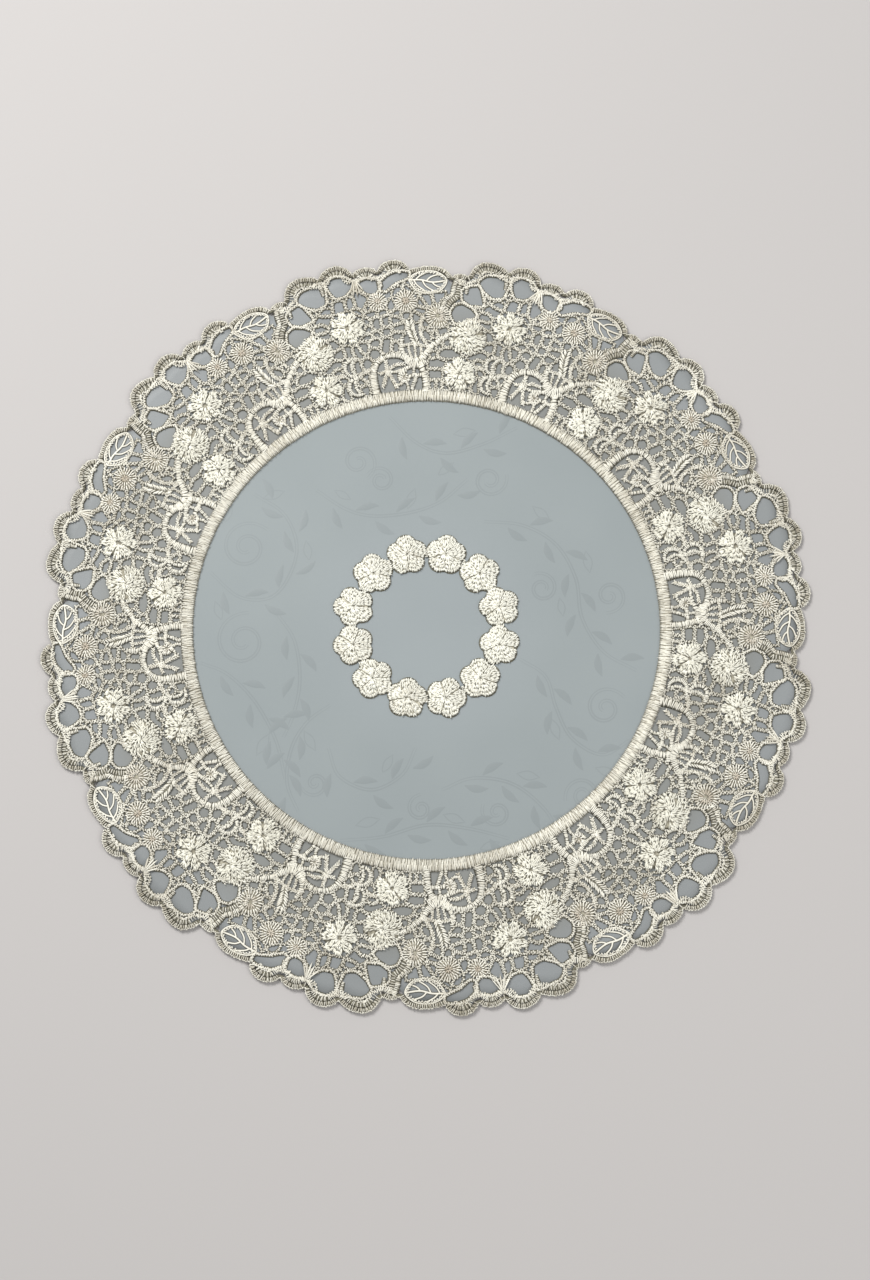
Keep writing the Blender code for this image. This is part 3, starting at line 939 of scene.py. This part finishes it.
openCells = {  # degrees, radius and half size of each gap; a long gap has two or three places
    "leftOfLeafFoot": [(-14.8, 176.8, 1.8)],
    "behindFan": [(-12.9, 178.5, 2.4), (-11.9, 178.7, 2.4)],
    "belowRings": [(13.8, 171.6, 1.8)],
    "rightOfFeather": [(15.4, 163.6, 1.7)],
    "roundGap": [(14.9, 157.6, 2.6)],
    "aboveRound": [(16.8, 158.4, 1.4)],
    "besidePompom": [(-12.7, 158.8, 1.4), (-11.4, 159.3, 1.4)],
    "pompomLowLeft": [(-12.7, 152.2, 2.2)],
    "pompomLow": [(-11.1, 153.9, 2.1)],
    "betweenArcEnds": [(-14.0, 147.4, 2.0)],
    "innerTop": [(-11.2, 147.6, 2.6), (-9.2, 147.6, 2.6)],
    "innerLong": [(-14.4, 142.4, 1.7), (-13.0, 141.9, 1.9), (-11.9, 141.6, 1.8)],
    "innerLow": [(-13.6, 135.6, 2.1), (-12.2, 135.9, 2.0)],
    "footLeft": [(-13.5, 130.3, 1.6)],
    "footMiddle": [(-12.1, 130.2, 1.5)],
    "footRight": [(-10.6, 130.2, 1.6)],
    "footFar": [(-7.4, 128.2, 1.0), (-5.6, 128.6, 1.2)],
    "overArcs": [(-4.9, 147.9, 2.2), (-3.2, 147.9, 2.1)],
    "fanEyeletLow": [(-6.3, 173.3, 1.3)],
    "fanEyeletMiddle": [(-4.7, 180.2, 1.4)],
    "fanEyeletHigh": [(-1.6, 184.0, 1.5)],
    "daisyLeft": [(-5.4, 170.2, 1.6), (-4.2, 170.2, 1.7)],
    "daisyHighLeft": [(-4.6, 174.8, 1.8), (-3.2, 173.6, 1.8)],
    "fanSpokesLeft": [(-2.7, 179.4, 2.4)],
    "fanSpokesMiddle": [(0.0, 181.4, 1.9), (0.0, 178.4, 1.9)],
    "fanSpokesRight": [(1.9, 179.0, 1.8)],
    "fanSpokesFar": [(3.4, 179.6, 1.8), (3.5, 176.9, 1.6)],
    "daisyHighRight": [(2.7, 173.9, 1.8)],
    "daisyRightTop": [(5.0, 171.9, 2.3)],
    "daisyRightHigh": [(4.1, 168.0, 1.2)],
    "daisyRightLow": [(4.2, 163.2, 1.3)],
    "rightLong": [(5.8, 166.8, 1.9), (5.8, 164.0, 1.9)],
    "rightSmall": [(7.2, 171.0, 1.3)],
    "rightTall": [(7.5, 168.0, 1.6), (7.5, 165.5, 1.6)],
    "rightFar": [(9.2, 166.4, 1.8)],
    "rightLow": [(7.3, 161.0, 1.9)],
    "featherTop": [(9.6, 162.0, 1.6)],
    "featherLeft": [(9.4, 157.4, 2.3)],
    "ringsLowLeft": [(9.6, 170.6, 1.3)],
    "ringsLow": [(11.4, 169.4, 1.5)],
    "ringsLowRight": [(13.1, 168.2, 1.4)],
    "rosetteLow": [(15.8, 160.6, 1.3)],
    "daisyUnderRight": [(2.6, 158.9, 1.1), (3.9, 159.2, 1.2)],
    "daisyUnderFar": [(5.5, 160.0, 1.5)],
    "pompomRight": [(-3.7, 161.4, 1.5), (-3.0, 158.6, 1.7)],
    "pompomTop": [(-7.4, 167.4, 1.0), (-6.2, 166.9, 1.1)],
    "pompomTopRight": [(-4.8, 165.2, 1.6), (-3.6, 164.6, 1.6)],
    "underDaisyLeft": [(-2.45, 153.5, 2.3)],
    "underDaisy": [(-0.6, 154.2, 1.4), (-0.5, 151.4, 1.4)],
    "underDaisyRight": [(0.9, 153.0, 1.4), (1.3, 150.4, 1.5)],
    "underDaisyFar": [(2.5, 155.6, 1.3), (2.6, 153.1, 1.3)],
    "wheelLeft": [(4.4, 150.2, 2.0)],
    "leftOfFeather": [(4.9, 155.4, 2.3)],
    "overWheel": [(7.2, 154.4, 2.0), (7.0, 151.6, 1.9)],
    "overWheelRight": [(8.8, 152.6, 1.4), (8.8, 150.2, 1.4)],
    "besideArcs": [(-3.9, 144.4, 1.7)],
    "betweenArcs": [(-3.6, 139.2, 1.8)],
    "leftOfArcs": [(-3.9, 133.9, 1.7), (-3.8, 131.0, 1.7)],
    "rightOfArcsHigh": [(0.4, 145.8, 1.7), (0.4, 142.8, 1.7)],
    "rightOfArcsLow": [(0.4, 135.8, 1.7)],
    "wheelOutHigh": [(2.2, 144.8, 1.8)],
    "wheelOutMiddle": [(1.5, 137.8, 1.7)],
    "wheelOutLow": [(0.9, 130.8, 2.1)],
    "crescentLow": [(9.8, 184.2, 1.9)],
    "crescentLowRight": [(12.2, 183.6, 1.7)],
    "betweenRings": [(8.9, 174.0, 1.2)],
    "firstRingLeft": [(4.9, 174.2, 1.6)],
    "secondRingRight": [(14.1, 174.6, 1.6)],
    "rosetteRight": [(-9.9, 163.0, 1.2)],
}
net = {"pitch": 0.95, "stitch": 1.5, "in": 0.34, "spread": 0.2, "lean": 62, "level": 0.62, "shadeCore": 1.8,
       "searched": 12.0, "thread": 0.74, "smallest": 1.6, "innerPart": 158.0, "overlap": 0.35,
       "corners": 0.15, "bandReach": 0.8,  # the least distance from a gap's middle to a band
       # where no gap is listed, the net goes on in even gaps, in rows from the heading out
       "evenSpacing": 5.0, "evenSize": 1.8, "evenRoom": 1.8, "evenRows": 20, "evenRowStep": 0.87,
       "evenFirst": 2.5, "evenFromEdge": 5.0}


def clip(corners, normal, limit):  # the part of a polygon with normal . p <= limit; marks name its edges
    kept = []
    count = len(corners)
    for i in range(count):
        (p, mark), (q, _) = corners[i], corners[(i + 1) % count]
        a, b = p @ normal - limit, q @ normal - limit
        if a <= 0:
            kept.append((p, mark))
        if (a < 0 < b) or (b < 0 < a):
            cut = p + (q - p) * (a / (a - b))
            kept.append((cut, None if a < 0 else mark))
    return kept


def gapShape(place, others):  # the ground nearer to a place than to any other, with the edges' owners
    reach = net["searched"]
    square = np.array([(-1, -1), (1, -1), (1, 1), (-1, 1)])
    shape = [(place["at"] + corner * reach, -1) for corner in square]
    for number, other in enumerate(others):
        gap = other["at"] - place["at"]
        if other is place or gap @ gap > (2 * reach) ** 2:
            continue
        limit = other["at"] @ other["at"] - place["at"] @ place["at"] + place["size"]**2 - other["size"]**2
        if not other["name"]:  # up to the edge of a band or a flower
            far = np.linalg.norm(gap)
            near = max(far - other["size"] + net["overlap"], net["bandReach"])
            limit = 2 * gap @ (place["at"] + gap * near / far)
        shape = [(p, number if mark is None else mark) for p, mark in clip(shape, 2 * gap, limit)]
        if not shape:
            return []
    return shape


def evenGaps():  # places for gaps wherever the listed ones leave room
    taken = [(spun(spot(place[:2]), turn), place[2]) for places in openCells.values() for place in places
             for turn in nearTurns]
    taken += [(spun(circle["at"], turn), circle["size"]) for circle in keptClear for turn in nearTurns]
    at = np.array([point for point, _ in taken])
    size = np.array([size for _, size in taken])
    found = {}
    step = net["evenSpacing"]
    for line in range(net["evenRows"]):
        radius = layout["laceInner"] + net["evenFirst"] + line * step * net["evenRowStep"]
        count = int(round(math.radians(layout["turn"]) * radius / step))
        for column in range(count):
            turn = scallops["firstValley"][0] + layout["turn"] * (column + 0.5 * (line % 2)) / count
            point = spot((turn, radius))
            if radius > edgeRadius(turn) - net["evenSize"] - net["evenFromEdge"]:
                continue
            if (np.linalg.norm(at - point, axis=1) > size + net["evenSize"] + net["evenRoom"]).all():
                found[f"even{line}x{column}"] = [(turn, radius, net["evenSize"])]
    return found


def gapOutlines():  # the bars' middle lines round each gap of one repeat
    everything = []
    for turn in nearTurns:
        for name, places in openCells.items():
            everything += [{"name": name, "turn": turn, "at": spun(spot(place[:2]), turn), "size": place[2]}
                           for place in places]
        everything += [{"name": "", "turn": turn, "at": spun(circle["at"], turn), "size": circle["size"]}
                       for circle in keptClear]
    outlines = []
    for name in openCells:
        edges = []
        for place in everything:
            if place["name"] != name or place["turn"] != 0:
                continue
            shape = gapShape(place, everything)
            for i, (p, mark) in enumerate(shape):
                same = mark >= 0 and everything[mark]["name"] == name and everything[mark]["turn"] == 0
                if not same:
                    edges.append((p, shape[(i + 1) % len(shape)][0]))
        if len(edges) < 3:
            continue
        chain = [edges.pop(0)]
        while edges:
            following = min(range(len(edges)), key=lambda k: np.linalg.norm(edges[k][0] - chain[-1][1]))
            chain.append(edges.pop(following))
        outlines.append(softCorners(np.array([p for p, _ in chain]), net["corners"]))
    return outlines


def areaOf(outline):
    following = np.roll(outline, -1, axis=0)
    return 0.5 * (outline[:, 0] * following[:, 1] - outline[:, 1] * following[:, 0]).sum()


# The rim: a satin edge, open spokes and an inner cord

rim = {"edge": 2.9, "edgePitch": 1.14, "edgeThread": 0.62, "edgeShade": -0.5,
       "spokes": (2.4, 5.4), "spokePitch": 1.45, "spokeThread": 0.45,
       "lipAt": 0.35, "cordAt": 5.7, "linePitch": 0.9, "slitPad": 3.4, "slitClear": 3.6,
       "openFrom": -10.9, "openTo": 12.3, "valleyRoom": 0.45}
firstDeg, firstRadius = scallops["firstValley"]
rimOutline = spots([*scallopedEdge(), (firstDeg + layout["turn"], firstRadius)])


def inFromEdge(depth, pitch, openOnly=False):  # points a depth inside the scallops, with the way in
    points, aim, _ = evenly(rimOutline, pitch)
    points, aim = points[:-1], aim[:-1]
    inward = sideways(aim)
    inward *= -np.sign((points * inward).sum(axis=1, keepdims=True))
    if openOnly:
        turn = -np.degrees(np.arctan2(points[:, 1], points[:, 0]))
        kept = (turn > rim["openFrom"]) & (turn < rim["openTo"])
        points, inward = points[kept], inward[kept]
    return points + inward * depth, inward


def inwardStitches(start, end, pitch, level, arch, thread, openOnly=False, shade=0.0):
    points, inward = inFromEdge((start + end) / 2, pitch, openOnly)
    return rowsOf(points, level, bearing(inward), end - start, thread, arch, 0.7, shade)


rimLevel = clothTop + 0.55
laceRows["rim"].append(inwardStitches(0.0, rim["edge"], rim["edgePitch"], rimLevel, 0.14, rim["edgeThread"],
                                      shade=rim["edgeShade"]))
laceRows["rim"].append(inwardStitches(*rim["spokes"], rim["spokePitch"], rimLevel, 0.06, rim["spokeThread"],
                                      openOnly=True))
# between two scallops: stitches that go on round the corner, and a bar further in
valleys = {"reach": (2.2, 6.2), "spread": 58.0, "count": 9, "thread": 0.62,
           "bar": (5.4, 9.6), "width": [2.6, 2.0, 1.7], "pitch": 0.85, "barThread": 0.7}
for endDeg, endRadius, _ in scallops["arcs"][1:-1]:
    corner = spot((endDeg, endRadius))
    way = bearing(-corner[None])[0] + valleys["spread"] * np.linspace(-1, 1, valleys["count"])
    middles = corner + pointing(way) * np.mean(valleys["reach"])
    laceRows["rim"].append(rowsOf(middles, rimLevel, way, np.ptp(valleys["reach"]), valleys["thread"], 0.06,
                                  0.7, 0.1))
    line = spots([(endDeg, endRadius - depth) for depth in np.linspace(*valleys["bar"], 5)])
    laceRows["rim"].append(crossStitches(line, valleys["width"], valleys["pitch"], rimLevel + 0.05, 0.06,
                                         valleys["barThread"]))
    padBand(line, valleys["width"])
lipLine, _ = inFromEdge(rim["lipAt"], rim["linePitch"])
laceRows["rim"].append(plaitStitches(lipLine, 1.2, 0.8, rimLevel - 0.05, 22, 0.1))
cordLine, _ = inFromEdge(rim["cordAt"], rim["linePitch"], openOnly=True)
laceRows["rim"].append(plaitStitches(cordLine, 1.4, 0.7, rimLevel + 0.1, 42, 0.3))
edgeLine, _ = inFromEdge(rim["edge"] / 2, 1.2)
slitDepth = sum(rim["spokes"]) / 2 + 0.3
slitLine, slitWay = inFromEdge(slitDepth, 1.0, openOnly=True)
# dark ribbons of painted shade under the satin edge and under the open slits between the spokes
shadeRibbons.append(ribbon(edgeLine, rim["edge"] * 0.85, rimLevel - 0.45))
ends = np.array([firstDeg, *(arc[0] for arc in scallops["arcs"])])
turns = -bearing(slitLine - slitWay * slitDepth)
clear = np.abs(turns[:, None] - ends).min(axis=1) > rim["valleyRoom"]
for run in np.split(np.arange(len(slitLine)), np.flatnonzero(np.diff(clear.astype(int))) + 1):
    if clear[run[0]] and len(run) > 1:
        shadeRibbons.append(ribbon(slitLine[run], rim["slitPad"], rimLevel - 0.6))
keepClear(cordLine, 1.6)
keepClear(edgeLine, rim["edge"])
keepClear(slitLine, rim["slitClear"])
print("rim made")


# The net is laid last, between all of these

underHeading = {"radius": 125.6, "width": 3.6}
clearCircles = [  # degrees, radius and size of each: the leaf, the inside of the wheel and of the arcs
    (13.2, 187.6, 4.4), (15.0, 187.4, 6.6), (17.0, 187.4, 5.8),
    (6.9, 137.6, 8.0), (9.6, 132.8, 6.4), (12.6, 133.6, 5.6),
    (-1.6, 143.8, 3.0), (-1.7, 134.4, 3.0),
]
keepClear(pointing(np.arange(-20.0, 20.5, 0.5)) * underHeading["radius"], underHeading["width"])
for look in flowers.values():
    keptClear.append({"at": spot(look["at"]), "size": look["radius"] - 0.3})
for look in rosettes.values():
    keptClear.append({"at": spot(look["at"]), "size": look["radius"]})
for deg, radius, size in clearCircles:
    keptClear.append({"at": spot((deg, radius)), "size": size})
openCells.update(evenGaps())
for outline in gapOutlines():
    if areaOf(outline) < net["smallest"]:
        continue
    row = beside(outline, net["in"], 0.5, closed=True)
    part = "netInner" if np.linalg.norm(row.mean(axis=0)) < net["innerPart"] else "netOuter"
    laceRows[part].append(plaitStitches(row, net["stitch"], net["pitch"], clothTop + net["level"],
                                        net["lean"], net["spread"], net["thread"], closed=True))
    # a dark ribbon of painted shade under each row, showing as the gap's outline
    shadeRibbons.append(ribbon(row, net["shadeCore"], padLevel, pitch=1.7, closed=True))
print("net made")

lacePieceLooks = {  # name, thread, and how far its stitches wander, swing and stretch
    "netInner": ("laceNetInner", netThread, (0.1, 8, 0.1)),
    "netOuter": ("laceNetOuter", netThread, (0.1, 8, 0.1)),
    "bands": ("laceBands", laceThread, (0.12, 5, 0.1)),
    "rim": ("laceRim", netThread, (0.1, 5, 0.1)),
    "flowers": ("laceFlowers", flowerThread, (0.15, 14, 0.12)),
    "rosettes": ("laceRosettes", rosetteThread, (0.08, 4, 0.08)),
}
lacePads = {  # the forms under the stitches, and their thread; the dark and the darker pads are painted shade between and round the stitches
    "laceShadePadding": ([ribbonMesh([*shadeRibbons, *lacePetalShade], 0.36)], paintedShadePad),
    "laceMounds": ([ribbonMesh(satinRibbons, 0.3)], paddingThread),
    "laceFlowerPads": (laceMounds, shadedPadding),
    "laceLeaves": ([ribbonMesh(leafRibbons, 0.8)], laceThread),
}
for part, (name, thread, unevenness) in lacePieceLooks.items():
    allRows = aroundTheMat(np.vstack(laceRows[part]), makers, *unevenness)
    sew(name, allRows, thread)
for name, (forms, thread) in lacePads.items():
    padding(name, forms, thread)
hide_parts("lace_border")
print("lace sewn")


# The satin heading

heading = {"middle": 124.2, "pad": 6.6, "level": 0.72, "arch": 0.12, "thread": 0.7,
           "uneven": (0.16, 3.0, 0.08),
           # radius, length and pitch of each round of stitches
           "rounds": [(122.9, 4.6, 0.84), (125.4, 4.8, 0.84), (124.2, 5.2, 1.7)]}
circle = pointing(np.arange(360))
headingRows = [crossStitches(circle * radius, length, pitch, clothTop + heading["level"], heading["arch"],
                             heading["thread"], closed=True)
               for radius, length, pitch in heading["rounds"]]
headingPiece = sew("headingStitches", unevenly(np.vstack(headingRows), makers, *heading["uneven"]), netThread)
headingRibbon = ribbon(circle * heading["middle"], heading["pad"], padLevel, closed=True)
headingForm = ribbonMesh([headingRibbon], 0.3)
# the heading's pad is painted darker, as shade between its stitches
headingPad = padding("headingPadding", [headingForm], shadedPadding, False)
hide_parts("satin_heading")


# The ring of flowers

ring = {"radius": 39.1, "starts": [20, 52, 8, 64, 35, 15, 58, 28, 44, 3, 66, 38], "uneven": (0.09, 9.0, 0.1),
        "edge": 0.8, "linkShare": 0.985, "linkPlaces": [[-1.5], [-0.5], [0.5], [1.5]], "linkLevel": 0.6,
        "flower": {**flowerWork, "radius": 10.5, "lobes": 5, "dip": 0.2, "roundness": 0.75, "hole": 0.4,
                   "rise": 0.95, "level": 0.7, "ragged": 0.025, "padShare": 0.97,
                   "tiers": [(0.78, 1.0, 0.94), (0.52, 0.84, 0.9), (0.3, 0.6, 0.88), (0.08, 0.38, 0.84)]}}
ringRows, ringMounds, ringShadeRibbons = [], [], []
for flower, start in enumerate(ring["starts"]):
    turn = layout["firstDaisy"] + flower * layout["turn"]
    centre = pointing(turn) * ring["radius"]
    look = {**ring["flower"], "start": turn + start}
    ringRows += workedFlower(centre, look, clothTop + look["level"], makers)
    ringMounds.append(moundMesh(centre, look, padLevel))
    ringShadeRibbons += petalShadeRibbons(centre, look, padLevel)
    around = np.linspace(0, 360, 50, endpoint=False)
    edge = centre + pointing(around) * flowerReach(look, np.radians(around))[:, None]
    # a dark ribbon of painted shade round each flower's edge
    ringShadeRibbons.append(ribbon(edge, ring["edge"], padLevel, pitch=1.3, closed=True))
    between = turn + layout["turn"] / 2
    link = pointing(between) * (ring["radius"] * ring["linkShare"] + np.array(ring["linkPlaces"]))
    ringRows.append(rowsOf(link, clothTop + ring["linkLevel"], between + 90, 2.0, 0.75))
ringPiece = sew("ringStitches", unevenly(np.vstack(ringRows), makers, *ring["uneven"]), satinThread)
ringPad = padding("ringPadding", ringMounds, paddingThread, False)
ringShadePiece = padding("ringShadeRibbons", [ribbonMesh(ringShadeRibbons, 0.3)], paintedShadePad, False)
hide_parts("flower_ring")
print("heading and ring made")


# Floor, lights and camera

def makeStage():
    bpy.ops.mesh.primitive_plane_add(size=6, location=(0, 0, -0.3 * mm))
    floor = bpy.context.object
    floor.name = "floor"
    material, nodes, links = newMaterial("paleFloor")
    shader = nodes["Principled BSDF"]
    shader.inputs["Base Color"].default_value = (0.46, 0.44, 0.425, 1)
    shader.inputs["Roughness"].default_value = 0.9
    floor.data.materials.append(material)


ambient = 0.48
lamps = {"key": ((-0.7, 0.9, 1.3), 0.7, 28.0), "fill": ((0.9, -0.5, 1.2), 1.2, 9.5)}  # place, size, power


def makeLights():
    world = bpy.data.worlds.new("studio")
    world.use_nodes = True
    world.node_tree.nodes["Background"].inputs["Color"].default_value = (0.97, 0.98, 1.0, 1)
    world.node_tree.nodes["Background"].inputs["Strength"].default_value = ambient
    bpy.context.scene.world = world
    for name, (place, size, power) in lamps.items():
        light = bpy.data.lights.new(name, "AREA")
        light.size = size
        light.energy = power
        lamp = bpy.data.objects.new(name, light)
        lamp.location = place
        lamp.rotation_euler = (-Vector(place)).to_track_quat("-Z", "Y").to_euler()
        bpy.context.collection.objects.link(lamp)


cameraView = {"distance": 1.193, "tilt": 11.2, "lens": 64.7, "shift": (0.0066, -0.0107)}


def makeCamera():
    data = bpy.data.cameras.new("photoCamera")
    data.lens = cameraView["lens"]
    data.clip_start = 0.05
    data.shift_x, data.shift_y = cameraView["shift"]
    camera = bpy.data.objects.new("photoCamera", data)
    tilt = math.radians(cameraView["tilt"])
    camera.location = (0, -cameraView["distance"] * math.sin(tilt), cameraView["distance"] * math.cos(tilt))
    camera.rotation_euler = (tilt, 0, 0)
    bpy.context.collection.objects.link(camera)
    bpy.context.scene.camera = camera


makeStage()
makeLights()
makeCamera()
bpy.context.scene.view_settings.view_transform = "Standard"
